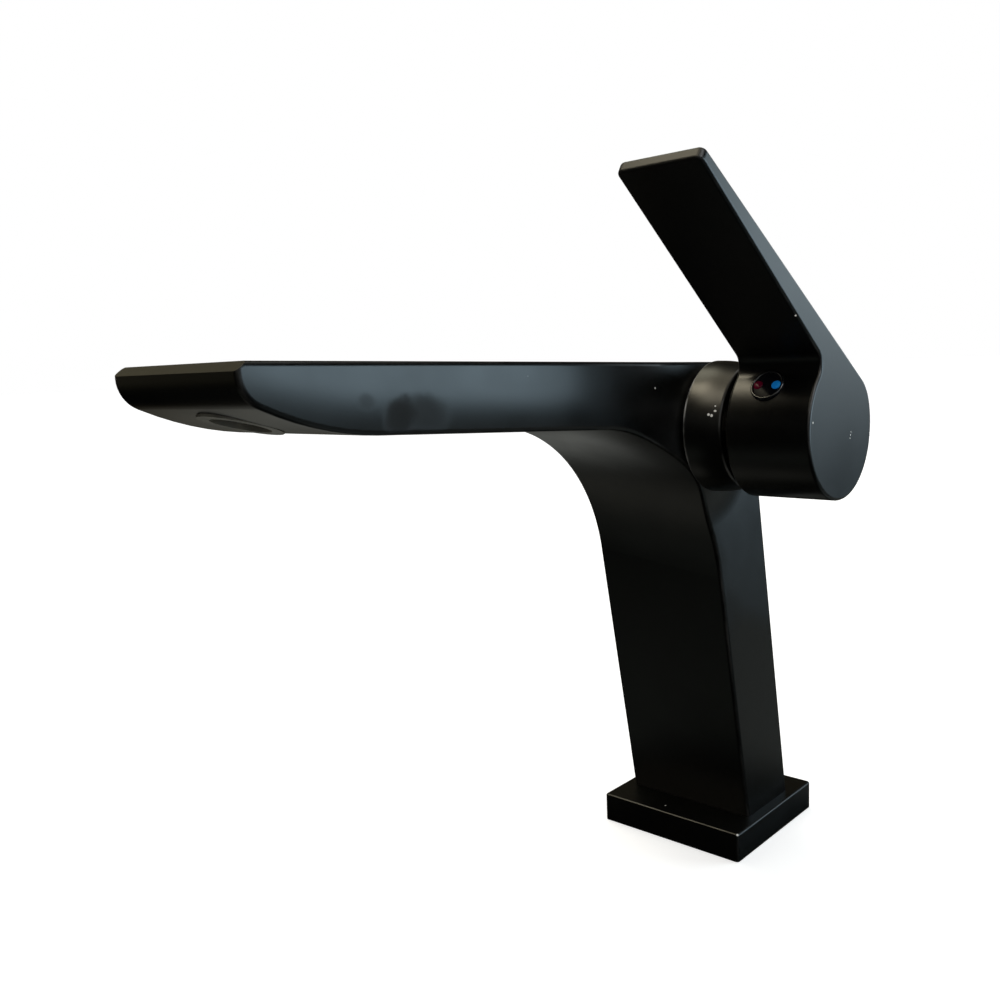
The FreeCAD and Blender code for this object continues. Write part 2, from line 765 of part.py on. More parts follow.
def make_rotor():
    flange_end = f"({ceiling_x} - dims.run_gap)"
    end = f"({neck_x} + dims.rotor_proud)"
    groove = f"({shoulder_x} + dims.ring_ledge)"
    groove_end = f"({groove} + dims.ring_width)"
    corners = [
        (flange_x, "0"), (flange_x, "dims.flange_radius"), (flange_end, "dims.flange_radius"),
        (flange_end, rotor_radius), (groove, rotor_radius), (groove, ring_radius),
        (groove_end, ring_radius), (groove_end, rotor_radius), (end, rotor_radius), (end, "0"),
    ]
    body = turned_on_axis("rotor", corners)
    slot = add_sketch(body, "YZ_Plane", flange_x)
    add_rectangle(slot, "dims.rotor_slot", "(dims.stem_side + 2 * dims.toe_gap)")
    add_pocket(body, slot, f"{end} - {flange_x}", reverse=True)
    hole = add_sketch(body, "XY_Plane")
    add_circle(hole, "dims.pin_radius + dims.fit_gap", (pivot_x, "0"))
    add_pocket(body, hole, f"4 * {rotor_radius}", midplane=True)
    return body


def make_rotor_seal():
    start = f"({shoulder_x} + dims.ring_ledge + dims.fit_gap)"
    end = f"({start} + dims.ring_width - 2 * dims.fit_gap)"
    inner = f"({ring_radius} + dims.fit_gap)"
    outer = f"({neck_bore} - dims.fit_gap)"
    return turned_on_axis("rotor_seal", [(start, inner), (start, outer), (end, outer), (end, inner)])


def make_pivot_pin():
    body = add_body("pivot_pin")
    pin = add_sketch(body, "XY_Plane")
    add_circle(pin, "dims.pin_radius", (pivot_x, "0"))
    add_pad(body, pin, f"2 * sqrt({ring_radius} ^ 2 - dims.pin_radius ^ 2)", midplane=True)
    place_on_axis(body)
    return body


def make_stem():
    # Rocking lever: a square shank for the handle above the pin, a neck and a round toe below it.
    body = add_body("stem")
    half = "(dims.stem_side / 2)"
    neck = "(dims.stem_neck / 2)"
    step_x = f"({pivot_x} - {half})"
    bar = add_sketch(body, "XY_Plane")
    corners = [
        (toe_x, f"-{neck}"), (step_x, f"-{neck}"), (step_x, f"-{half}"), (stem_x, f"-{half}"),
        (stem_x, half), (step_x, half), (step_x, neck), (toe_x, neck),
    ]
    add_outline(bar, corners, {2: "dims.stem_round", 5: "dims.stem_round"})
    add_pad(body, bar, "dims.stem_side", midplane=True)
    toe = add_sketch(body, "XY_Plane")
    add_circle(toe, "dims.toe_radius", (toe_x, "0"))
    add_pad(body, toe, "dims.stem_side", midplane=True)
    hole = add_sketch(body, "XY_Plane")
    add_circle(hole, "dims.pin_radius + dims.run_gap", (pivot_x, "0"))
    add_pocket(body, hole, "2 * dims.stem_side", midplane=True)
    place_on_axis(body)
    return body


def add_capped_disc(sketch, radius, cap):
    # Circle about the axis, cut straight across at the height cap.
    size, height = number(radius), number(cap)
    angle = math.asin(height / size)
    circle = Part.Circle(Vector(0, 0, 0), Vector(0, 0, 1), size)
    arc = sketch.addGeometry(Part.ArcOfCircle(circle, math.pi - angle, 2 * math.pi + angle))
    half = size * math.cos(angle)
    chord = sketch.addGeometry(Part.LineSegment(Vector(half, height, 0), Vector(-half, height, 0)))
    sketch.addConstraint(Sketcher.Constraint("Coincident", arc, 3, -1, 1))
    sketch.addConstraint(Sketcher.Constraint("Coincident", arc, 2, chord, 1))
    sketch.addConstraint(Sketcher.Constraint("Coincident", chord, 2, arc, 1))
    sketch.addConstraint(Sketcher.Constraint("Horizontal", chord))
    tie(sketch, "Radius", (arc,), radius)
    tie(sketch, "DistanceY", (-1, 1, chord, 1), cap)


def make_handle():
    # Round cap with a flat on top that runs out into the tapering blade.
    body = add_body("handle")
    cap = add_sketch(body, "YZ_Plane", handle_x, turn=blade_turn)
    add_capped_disc(cap, "dims.handle_radius", "dims.blade_top")
    add_pad(body, cap, "dims.handle_width")
    blade = add_sketch(body, "YZ_Plane", handle_x, turn=blade_turn)
    under_root = "(dims.blade_top - dims.blade_root)"
    under_end = "(dims.blade_top - dims.blade_end)"
    corners = [
        ("0", under_root), ("0", "dims.blade_top"),
        ("-dims.lever_reach", "dims.blade_top"), ("-dims.lever_reach", under_end),
    ]
    add_outline(blade, corners)
    add_pad(body, blade, "dims.handle_width")
    wedge = add_sketch(body, "XY_Plane")
    far_end = "(-2 * dims.lever_reach)"
    far_x = f"({handle_x} + {inner_slope} * (dims.handle_radius - {far_end}))"
    corners = [(handle_x, "dims.handle_radius"), (handle_x, far_end), (far_x, far_end)]
    add_outline(wedge, corners)
    add_pocket(body, wedge, "2 * dims.lever_reach", midplane=True)
    round_handle(body, number(under_root), number(under_end))
    cavity = add_sketch(body, "YZ_Plane", handle_x, turn=blade_turn)
    add_capped_disc(cavity, "dims.handle_radius - dims.handle_wall", "dims.blade_top - dims.handle_wall")
    add_pocket(body, cavity, "dims.handle_cavity", reverse=True)
    socket = add_sketch(body, "YZ_Plane", cavity_x)
    side = "(dims.stem_side + 2 * dims.fit_gap)"
    add_rectangle(socket, side, side)
    add_pocket(body, socket, "dims.socket_depth", reverse=True)
    recess = add_sketch(body, "XZ_Plane", "dims.handle_radius")
    add_circle(recess, "dims.plug_radius + dims.fit_gap", (plug_x, "0"))
    add_pocket(body, recess, f"dims.handle_radius - {plug_seat}")
    bore = add_sketch(body, "XZ_Plane", plug_seat)
    add_circle(bore, "dims.screw_radius + dims.fit_gap", (plug_x, "0"))
    add_pocket(body, bore, plug_seat)
    place_on_axis(body)
    return body


def round_handle(body, under_root, under_end):
    # Corners of the blade's tip, fillet under its root, blend at the back of the flat, then both rims.
    radius, top, reach = (number(f"dims.{name}") for name in ("handle_radius", "blade_top", "lever_reach"))
    turn = math.radians(number(blade_turn))
    slope = (under_root - under_end) / reach
    spread = 1 + slope ** 2
    root = under_root * slope
    under_y = (-root - math.sqrt(root ** 2 - spread * (under_root ** 2 - radius ** 2))) / spread
    under_z = under_root + slope * under_y
    back_y = math.sqrt(radius ** 2 - top ** 2)
    inner_face, outer_face, slant = (number(rule) for rule in (handle_x, handle_end_x, inner_slope))

    def turned(y, z):
        return y * math.cos(turn) - z * math.sin(turn), y * math.sin(turn) + z * math.cos(turn)

    def is_rim(edge):
        # Edge of the outer face, or of the inner face, which slants away towards the tip.
        inner = all(abs(spot.X - inner_face - slant * (radius - spot.Y)) < 1e-3 for spot in edge.Vertexes)
        return inner or all(abs(spot.X - outer_face) < 1e-3 for spot in edge.Vertexes)

    def is_tip_corner(edge):
        ends = [spot.Y * math.cos(turn) + spot.Z * math.sin(turn) for spot in edge.Vertexes]
        return is_rim(edge) and all(is_near(along, -reach) for along in ends)

    add_round(body, "Fillet", "Radius", "dims.blade_corner", is_tip_corner)
    add_round(body, "Fillet", "Radius", "dims.root_fillet", along_x_at(*turned(under_y, under_z)))
    add_round(body, "Fillet", "Radius", "dims.back_blend", along_x_at(*turned(back_y, top)))
    add_round(body, "Fillet", "Radius", "dims.handle_edge", is_rim)


def make_grub_screw():
    body = add_body("grub_screw")
    start = "(dims.stem_side / 2 + dims.fit_gap)"
    shank = add_sketch(body, "XZ_Plane", start)
    add_circle(shank, "dims.screw_radius", (plug_x, "0"))
    add_pad(body, shank, "dims.screw_length")
    key = add_sketch(body, "XZ_Plane", f"{start} + dims.screw_length")
    corners = [
        (f"{plug_x} + dims.screw_key * cos({angle})", f"dims.screw_key * sin({angle})")
        for angle in range(0, 360, 60)
    ]
    add_outline(key, corners)
    add_pocket(body, key, "dims.screw_key_depth")
    place_on_axis(body)
    return body


def mark_place(side):
    return (f"{plug_x} {side} dims.mark_spacing / 2", "0")


def make_index_plug():
    body = add_body("index_plug")
    disc = add_sketch(body, "XZ_Plane", plug_seat)
    add_circle(disc, "dims.plug_radius", (plug_x, "0"))
    add_pad(body, disc, "dims.plug_height")
    face = -number(plug_face)
    add_round(body, "Fillet", "Radius", "dims.plug_edge", lambda edge: abs(edge.BoundBox.YMax - face) < 1e-3)
    marks = add_sketch(body, "XZ_Plane", plug_face)
    for side in "-+":
        add_circle(marks, "dims.mark_radius + dims.fit_gap", mark_place(side))
    add_pocket(body, marks, "dims.mark_depth")
    place_on_axis(body)
    return body


def make_mark(label, side):
    body = add_body(label)
    dot = add_sketch(body, "XZ_Plane", f"{plug_face} - dims.mark_depth")
    add_circle(dot, "dims.mark_radius", mark_place(side))
    add_pad(body, dot, "dims.mark_depth")
    place_on_axis(body)
    return body


def make_hot_mark():
    return make_mark("hot_mark", "-")


def make_cold_mark():
    return make_mark("cold_mark", "+")


def make_aerator_shell():
    outer = "(dims.aerator_radius - dims.fit_gap)"
    inner = "(dims.aerator_radius - dims.shell_wall)"
    lip = f"({inner} - dims.shell_lip)"
    corners = [
        (lip, "0"), (outer, "0"), (outer, shell_top),
        (inner, shell_top), (inner, screen_low), (lip, screen_low),
    ]
    body = turned_upright("aerator_shell", corners)
    place_at_outlet(body)
    return body


def make_pierced_disc(label, low, height, hole, rings):
    # Round insert with rings of holes. rings gives (radius, count).
    high = f"({low} + {height})"
    body = turned_upright(label, [("0", low), (insert_radius, low), (insert_radius, high), ("0", high)])
    for radius, count in rings:
        spot = add_sketch(body, "XY_Plane", low)
        add_circle(spot, hole, (radius, "0"))
        cut = add_pocket(body, spot, height, reverse=True)
        repeat_round(body, cut, "Z_Axis", count)
    place_at_outlet(body)
    return body


def make_aerator_screen():
    rings = [(f"dims.screen_pitch * {ring}", f"dims.screen_holes * {ring}") for ring in screen_rings]
    return make_pierced_disc("aerator_screen", screen_low, "dims.screen_height", "dims.screen_hole", rings)


def make_aerator_core():
    rings = [("dims.core_ring", "dims.core_holes")]
    return make_pierced_disc("aerator_core", core_low, "dims.core_height", "dims.core_hole", rings)


def make_aerator_seal():
    outer = "(dims.aerator_radius - dims.fit_gap)"
    inner = f"({outer} - dims.aerator_seal_width)"
    corners = [(inner, shell_top), (outer, shell_top), (outer, aerator_depth), (inner, aerator_depth)]
    body = turned_upright("aerator_seal", corners)
    place_at_outlet(body)
    return body


makers = [
    make_base_plate, make_base_seal, make_inlet_block, make_block_screws, make_spout_body, make_collar,
    make_retaining_nut, make_cartridge_housing, make_cartridge_base, make_port_seals, make_fixed_disc,
    make_moving_disc, make_disc_carrier, make_rotor, make_rotor_seal, make_pivot_pin, make_stem,
    make_handle, make_grub_screw, make_index_plug, make_hot_mark, make_cold_mark,
    make_aerator_shell, make_aerator_screen, make_aerator_core, make_aerator_seal,
]
pieces = [maker() for maker in makers]

doc.recompute()
os.makedirs("parts", exist_ok=True)
for item in doc.Objects:
    if "Invalid" in item.State or "Error" in item.State:
        raise ValueError(f"{item.Label} failed: {item.State}")
for piece in pieces:
    if piece.Shape.isNull() or not piece.Shape.isValid():
        raise ValueError(f"{piece.Label} is not a valid solid")
for piece in pieces:
    piece.Shape.exportStep(f"parts/{piece.Label}.step")
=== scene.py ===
import bpy
import math
from mathutils import Matrix, Vector


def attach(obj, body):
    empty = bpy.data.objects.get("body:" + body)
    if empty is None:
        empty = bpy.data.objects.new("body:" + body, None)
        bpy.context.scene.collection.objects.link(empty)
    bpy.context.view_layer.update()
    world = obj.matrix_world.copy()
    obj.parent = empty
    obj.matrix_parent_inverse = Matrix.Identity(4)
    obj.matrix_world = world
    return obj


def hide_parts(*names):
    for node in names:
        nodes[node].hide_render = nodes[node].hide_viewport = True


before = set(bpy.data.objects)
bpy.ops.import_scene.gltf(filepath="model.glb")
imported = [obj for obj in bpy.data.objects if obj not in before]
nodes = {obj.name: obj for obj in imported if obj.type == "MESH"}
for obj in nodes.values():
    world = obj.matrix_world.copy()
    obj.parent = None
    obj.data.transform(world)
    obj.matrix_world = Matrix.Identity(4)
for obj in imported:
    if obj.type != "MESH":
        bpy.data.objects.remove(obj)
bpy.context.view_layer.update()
mm = 0.001
scene = bpy.context.scene
scene.view_settings.view_transform = "Standard"
bpy.ops.object.select_all(action="DESELECT")
print("frame loaded:", len(nodes), "nodes")


# node helpers: a socket is linked, a plain value is set

def put(target, value):
    if isinstance(value, bpy.types.NodeSocket):
        target.id_data.links.new(value, target)
    else:
        target.default_value = value


def startMaterial(name):
    material = bpy.data.materials.new(name)
    material.use_nodes = True
    tree = material.node_tree
    return material, tree, tree.nodes["Principled BSDF"], tree.nodes.new("ShaderNodeTexCoord")


def calc(tree, operation, first, second=0.0):
    node = tree.nodes.new("ShaderNodeMath")
    node.operation = operation
    put(node.inputs[0], first)
    put(node.inputs[1], second)
    return node.outputs[0]


def times(tree, first, second):
    return calc(tree, "MULTIPLY", first, second)


def vectorCalc(tree, operation, first, second=(0, 0, 0)):
    node = tree.nodes.new("ShaderNodeVectorMath")
    node.operation = operation
    put(node.inputs[0], first)
    put(node.inputs["Scale" if operation == "SCALE" else 1], second)
    return node.outputs["Value" if operation in ("DOT_PRODUCT", "DISTANCE", "LENGTH") else 0]


def split(tree, vector):
    node = tree.nodes.new("ShaderNodeSeparateXYZ")
    put(node.inputs[0], vector)
    return node.outputs


def fade(tree, value, low, high, start=0.0, end=1.0):  # smooth step from start at low to end at high
    node = tree.nodes.new("ShaderNodeMapRange")
    node.interpolation_type = "SMOOTHSTEP"
    put(node.inputs["Value"], value)
    for key, number in (("From Min", low), ("From Max", high), ("To Min", start), ("To Max", end)):
        node.inputs[key].default_value = number
    return node.outputs[0]


def noise(tree, vector, size, detail=2.0, stretch=None):  # size is the length of one blotch, in mm
    if stretch:
        vector = vectorCalc(tree, "MULTIPLY", vector, stretch)
    node = tree.nodes.new("ShaderNodeTexNoise")
    put(node.inputs["Vector"], vector)
    node.inputs["Scale"].default_value = 1 / (size * mm)
    node.inputs["Detail"].default_value = detail
    return node.outputs["Fac"]


def mixColour(tree, factor, first, second):
    node = tree.nodes.new("ShaderNodeMix")
    node.data_type = "RGBA"
    put(node.inputs["Factor"], factor)
    put(node.inputs["A"], first)
    put(node.inputs["B"], second)
    return node.outputs["Result"]


def bump(tree, height, depth, normal=None):  # depth is the height of the relief, in mm
    node = tree.nodes.new("ShaderNodeBump")
    put(node.inputs["Height"], height)
    node.inputs["Distance"].default_value = depth * mm
    if normal:
        put(node.inputs["Normal"], normal)
    return node.outputs[0]


def dress(material, *names):
    for name in names:
        slots = nodes[name].data.materials
        slots.clear()
        slots.append(material)


# camera, placed as the photograph was taken: degrees, mm of lens and sensor, metres

view = {
    "turn": 42.377, "down": 7.653, "roll": -2.303, "focal": 36.018, "sensor": 36.0,
    "place": (0.16935, -0.28505, 0.15425), "nearest": 0.01,
}


def makeCamera():
    turn, down, roll = (math.radians(view[key]) for key in ("turn", "down", "roll"))
    right = Vector((math.cos(turn), math.sin(turn), 0))
    ahead = Vector((-math.sin(turn) * math.cos(down), math.cos(turn) * math.cos(down), -math.sin(down)))
    up = right.cross(ahead)
    levelRight = right * math.cos(roll) + up * math.sin(roll)
    levelUp = up * math.cos(roll) - right * math.sin(roll)
    data = bpy.data.cameras.new("photoCamera")
    data.lens, data.sensor_width, data.clip_start = view["focal"], view["sensor"], view["nearest"]
    camera = bpy.data.objects.new("photoCamera", data)
    scene.collection.objects.link(camera)
    axes = Matrix((levelRight, levelUp, -ahead)).transposed().to_4x4()
    camera.matrix_world = Matrix.Translation(view["place"]) @ axes
    scene.camera = camera


makeCamera()
print("camera placed")


# studio: white surround, pale floor, two soft boxes, and a dark tent with soft panels that only reflections see

studio = {
    "fill": 0.55,                           # light of the surround on the object
    "aim": (0.0, -0.06, 0.13),              # where the soft boxes point
    "tentRadius": 20.0,
}
floorLook = {
    "size": 30.0, "drop": 0.0002, "colour": (0.60, 0.60, 0.595, 1), "paler": 1.03, "mottle": 40,
    "rough": 0.9, "sheen": 0.1,
    "near": (0.25, 1.2), "glow": (0.60, 0.78),     # the shadow lies near the tap, further out the floor is whiter
}
softBoxes = {
    "windowBox": {"place": (0.72, 0.70, 0.38), "size": (0.60, 0.52), "power": 7.0, "colour": (0.80, 0.93, 1.0)},
    "skyBox": {"place": (-0.50, 0.10, 1.0), "size": (0.8, 1.2), "power": 7.5, "colour": (1.0, 0.94, 0.80)},
}
# dark contact shadow round the plate, as the paint reflects it: solid to the first reach, gone at the second
matLook = {"reach": (0.035, 0.066), "drop": 0.0001, "colour": (0.002, 0.002, 0.002, 1), "cover": 0.95}

# panels of the tent: middle and half width round the tap, middle and half height above the floor, soft edge, all
# in degrees, then the light
panels = {
    "windowMiddle": (34, 23, 3, 6, 8, (3.85, 5.10, 5.90)),
    "windowLow": (23, 9, -9, 4, 6, (1.30, 1.70, 1.95)),
    "windowFar": (76, 16, 10, 10, 7, (1.36, 1.58, 1.69)),
    "backLeft": (128, 36, 5, 17, 12, (0.06, 0.05, 0.03)),
    "backLow": (142, 18, -34, 13, 8, (0.40, 0.415, 0.385)),
    "tipLow": (158, 9, -20, 9, 6, (0.035, 0.025, 0.01)),
    "tipSky": (171, 15, 28, 9, 8, (0.27, 0.24, 0.15)),
    "floorRight": (60, 30, -26, 12, 8, (0.135, 0.145, 0.135)),
    "floorRightLow": (60, 40, -55, 12, 8, (0.16, 0.19, 0.19)),
    "floorLeft": (193, 21, -54, 11, 8, (0.21, 0.21, 0.18)),
    "floorFront": (228, 20, -38, 9, 8, (0.105, 0.115, 0.10)),
    "left": (208, 25, -3, 9, 8, (0.075, 0.068, 0.045)),
    "top": (0, 200, 82, 14, 8, (1.10, 0.98, 0.72)),
    "skyLeft": (155, 22, 58, 12, 8, (2.25, 2.15, 1.65)),
    "skyFront": (215, 22, 60, 8, 6, (7.80, 7.00, 5.20)),
    "skyRight": (262, 22, 56, 11, 8, (4.30, 3.85, 2.95)),
    "front": (305, 24, 22, 16, 10, (0.70, 0.70, 0.67)),
    "rightLow": (350, 24, -9, 11, 8, (0.60, 0.64, 0.66)),
    "skyBack": (30, 72, 62, 10, 9, (0.90, 0.90, 0.88)),
    "rightHigh": (348, 19, 38, 12, 7, (4.3, 4.4, 4.5)),
    "leftHigh": (202, 12, 22, 7, 6, (0.45, 0.43, 0.38)),
    "leftSide": (146, 9, 7, 7, 6, (0.50, 0.49, 0.45)),
}


def backgroundRays(tree):  # 1 for rays that see the background: camera, reflection and glass
    path = tree.nodes.new("ShaderNodeLightPath")
    seen = calc(tree, "ADD", path.outputs["Is Camera Ray"], path.outputs["Is Glossy Ray"])
    return calc(tree, "MINIMUM", calc(tree, "ADD", seen, path.outputs["Is Transmission Ray"]), 1.0)


def makeWorld():
    world = bpy.data.worlds.new("studioWhite")
    scene.world = world
    world.use_nodes = True
    tree = world.node_tree
    level = fade(tree, backgroundRays(tree), 0, 1, studio["fill"], 1.0)
    put(tree.nodes["Background"].inputs["Color"], (1, 1, 1, 1))
    put(tree.nodes["Background"].inputs["Strength"], level)


def makeFloor():
    bpy.ops.mesh.primitive_plane_add(size=floorLook["size"], location=(0, 0, -floorLook["drop"]))
    floor = bpy.context.object
    floor.name = "floor"
    material, tree, shader, place = startMaterial("paleFloor")
    mottle = noise(tree, place.outputs["Object"], floorLook["mottle"], 4)
    paler = [min(1, part * floorLook["paler"]) for part in floorLook["colour"][:3]] + [1]
    put(shader.inputs["Base Color"], mixColour(tree, mottle, floorLook["colour"], paler))
    shader.inputs["Roughness"].default_value = floorLook["rough"]
    shader.inputs["Specular IOR Level"].default_value = floorLook["sheen"]
    shader.inputs["Emission Color"].default_value = (1, 1, 1, 1)
    away = vectorCalc(tree, "LENGTH", place.outputs["Object"])
    glow = fade(tree, away, *floorLook["near"], *floorLook["glow"])
    sides = tree.nodes.new("ShaderNodeNewGeometry")
    put(shader.inputs["Alpha"], calc(tree, "SUBTRACT", 1.0, sides.outputs["Backfacing"]))     # clear from below
    put(shader.inputs["Emission Strength"], times(tree, backgroundRays(tree), glow))
    floor.data.materials.append(material)
    floor.visible_glossy = False


def makeSoftBox(name):
    look = softBoxes[name]
    data = bpy.data.lights.new(name, "AREA")
    data.shape = "RECTANGLE"
    data.size, data.size_y = look["size"]
    data.energy, data.color = look["power"], look["colour"]
    lamp = bpy.data.objects.new(name, data)
    scene.collection.objects.link(lamp)
    aim = Vector(studio["aim"]) - Vector(look["place"])
    lamp.matrix_world = Matrix.Translation(look["place"]) @ aim.to_track_quat("-Z", "Y").to_matrix().to_4x4()
    lamp.visible_camera = lamp.visible_glossy = False


def panelMask(tree, direction, turn, halfTurn, height, halfHeight, edge):  # 1 inside the panel, 0 outside
    turn = math.radians(turn)
    ahead = vectorCalc(tree, "DOT_PRODUCT", direction, (math.cos(turn), math.sin(turn), 0))
    aside = vectorCalc(tree, "DOT_PRODUCT", direction, (-math.sin(turn), math.cos(turn), 0))
    upward = calc(tree, "SUBTRACT", calc(tree, "ARCSINE", split(tree, direction)[2]), math.radians(height))
    mask = None
    for angle, half in ((calc(tree, "ARCTAN2", aside, ahead), halfTurn), (upward, halfHeight)):
        limits = (math.radians(half - edge), math.radians(half + edge))
        part = fade(tree, calc(tree, "ABSOLUTE", angle), *limits, 1, 0)
        mask = times(tree, mask, part) if mask else part
    return mask


def onlyReflected(card):
    for way in ("camera", "diffuse", "transmission", "volume_scatter", "shadow"):
        setattr(card, f"visible_{way}", False)


def makeTent():
    bpy.ops.mesh.primitive_ico_sphere_add(subdivisions=5, radius=studio["tentRadius"])
    tent = bpy.context.object
    tent.name = "reflectionTent"
    material, tree, shader, place = startMaterial("tentPanels")
    direction = vectorCalc(tree, "NORMALIZE", place.outputs["Object"])
    light = None
    for *shape, colour in panels.values():
        glow = vectorCalc(tree, "SCALE", colour, panelMask(tree, direction, *shape))
        light = vectorCalc(tree, "ADD", light, glow) if light else glow
    shader.inputs["Base Color"].default_value = (0, 0, 0, 1)
    shader.inputs["Specular IOR Level"].default_value = 0.0
    put(shader.inputs["Emission Color"], light)
    shader.inputs["Emission Strength"].default_value = 1.0
    tent.data.materials.append(material)
    onlyReflected(tent)


def makeShadowMat():
    solid, clear = matLook["reach"]
    bpy.ops.mesh.primitive_plane_add(size=2 * clear, location=(0, 0, -matLook["drop"]))
    mat = bpy.context.object
    mat.name = "shadowMat"
    bpy.ops.object.transform_apply(location=True, rotation=True, scale=True)
    material, tree, shader, place = startMaterial("shadowMat")
    shader.inputs["Base Color"].default_value = matLook["colour"]
    shader.inputs["Roughness"].default_value = 1.0
    shader.inputs["Specular IOR Level"].default_value = 0.0
    away = vectorCalc(tree, "LENGTH", place.outputs["Object"])
    put(shader.inputs["Alpha"], fade(tree, away, solid, clear, matLook["cover"], 0))
    mat.data.materials.append(material)
    onlyReflected(mat)


makeWorld()
makeFloor()
for name in softBoxes:
    makeSoftBox(name)
makeTent()
makeShadowMat()
print("studio lit")


# satin black paint of the body, base, collar and handle: sizes and depths in mm

paint = {
    "black": (0.0008, 0.0009, 0.0008, 1), "brownBlack": (0.0014, 0.0013, 0.0010, 1), "cloudSize": 22,
    # bare is the colour of the chips, and also of the collar's painted highlight line
    "worn": (0.20, 0.19, 0.17, 1), "bare": (0.72, 0.71, 0.67, 1), "dust": (0.16, 0.16, 0.155, 1),
    "roughness": (0.285, 0.325), "roughSize": 14, "roughBand": (0.3, 0.7),     # under 0.28 the denoiser draws cracks
    "peelSize": 1.6, "peelDepth": 0.006, "grainSize": 0.4, "grainDepth": 0.0006,
    "speckSpacing": 11.0, "speckRadius": 0.16, "speckShare": 0.10, "speckCore": 0.6,
    "scuffSize": 9, "scuffBand": (0.40, 0.75), "edgeStart": (0.30, 0.55), "edgeEnd": (0.75, 0.90),
    "chipRag": 0.5, "chipCore": 0.7, "chipRough": 0.2,
}


def specks(tree, vector):  # scattered dots of dust
    node = tree.nodes.new("ShaderNodeTexVoronoi")
    put(node.inputs["Vector"], vector)
    node.inputs["Scale"].default_value = 1 / (paint["speckSpacing"] * mm)
    edge = paint["speckRadius"] / paint["speckSpacing"]
    dots = fade(tree, node.outputs["Distance"], edge * paint["speckCore"], edge, 1, 0)
    chosen = calc(tree, "GREATER_THAN", split(tree, node.outputs["Color"])[0], 1 - paint["speckShare"])
    return times(tree, dots, chosen)


def nicks(tree, vector, places):  # bare chips with ragged edges: centre and radius in mm
    ragged = calc(tree, "ADD", noise(tree, vector, paint["chipRag"], 3), 0.5)
    total = None
    for *centre, radius in places:
        gap = times(tree, vectorCalc(tree, "DISTANCE", vector, Vector(centre) * mm), ragged)
        chip = fade(tree, gap, radius * paint["chipCore"] * mm, radius * mm, 1, 0)
        total = calc(tree, "MAXIMUM", total, chip) if total else chip
    return total


def satinPaint(name, look, edge, tilt=None, dull=None, rubbed="worn"):
    # look has the piece's chips and wear, edge gives the mask of its worn edges, tilt the turned normal,
    #     # dull the roughness that is added, rubbed the colour of the worn edges. On the collar the edge mask, the
    #     wear
    #     # and the rubbed colour also make a painted highlight, a light line along the rim.
    material, tree, shader, place = startMaterial(name)
    spot = place.outputs["Object"]
    colour = mixColour(tree, noise(tree, spot, paint["cloudSize"], 4), paint["black"], paint["brownBlack"])
    colour = mixColour(tree, specks(tree, spot), colour, paint["dust"])
    rough = fade(tree, noise(tree, spot, paint["roughSize"], 3), *paint["roughBand"], *paint["roughness"])
    scuffed = fade(tree, noise(tree, spot, paint["scuffSize"], 6), *paint["scuffBand"])
    # worn edges, and on the collar a painted highlight line
    edgeWearAndHighlight = times(tree, times(tree, edge(tree, place), scuffed), look["wear"])
    colour = mixColour(tree, edgeWearAndHighlight, colour, paint[rubbed])
    bare = nicks(tree, spot, look["chips"])
    colour = mixColour(tree, bare, colour, paint["bare"])
    rough = calc(tree, "ADD", rough, times(tree, bare, paint["chipRough"]))
    if dull:
        rough = calc(tree, "ADD", rough, dull(tree, place))
    put(shader.inputs["Base Color"], colour)
    put(shader.inputs["Roughness"], rough)
    normal = tilt(tree, place) if tilt else None
    normal = bump(tree, noise(tree, spot, paint["peelSize"], 1), paint["peelDepth"], normal)
    normal = bump(tree, noise(tree, spot, paint["grainSize"], 2), paint["grainDepth"], normal)
    put(shader.inputs["Normal"], normal)
    return material


def sideways(tree, place):  # 1 on the flat sides, 0 on faces along the tap's middle plane
    return calc(tree, "ABSOLUTE", split(tree, place.outputs["Normal"])[0])


def sideEdge(tree, place):  # rounded edges between a piece's flat sides and its outline
    side = sideways(tree, place)
    return times(tree, fade(tree, side, *paint["edgeStart"]), fade(tree, side, *paint["edgeEnd"], 1, 0))


# body: its sides roll off softly towards the inner bend and the chin, in mm and degrees

spout = {
    "bendCorner": (-36.135, 134.472), "bendRadius": 58.0, "frontLean": 10.8, "underRise": 3.4,
    "chinPoint": (-188.1, 147.4), "chinRise": 24.0, "chinBlend": 8.0,
    "rollWidth": 10.0, "rollTurn": 0.18, "rollSide": (0.80, 0.98),
    "chips": [(21.7, -60.9, 146.7, 0.3)], "wear": 0.06,
    # dull smears on the side: centre, half length along the spout, half height, strength
    "smears": [
        (-144.2, 145.2, 8.5, 4.8, 0.72),
        (-152.0, 144.8, 4.4, 4.8, 0.86),
        (-159.8, 148.3, 3.0, 2.2, 0.55),
    ],
    "smearRise": 12.0, "smearRough": 0.50, "smearReach": 1.6, "smearSide": (0.80, 0.95),
    "smearMottle": 3.5, "smearBand": (0.2, 0.8), "smearRag": (0.8, 1.2),
}


def inwards(degrees):  # direction in the tap's middle plane, tilted back from upright
    return Vector((0, math.sin(math.radians(degrees)), math.cos(math.radians(degrees))))


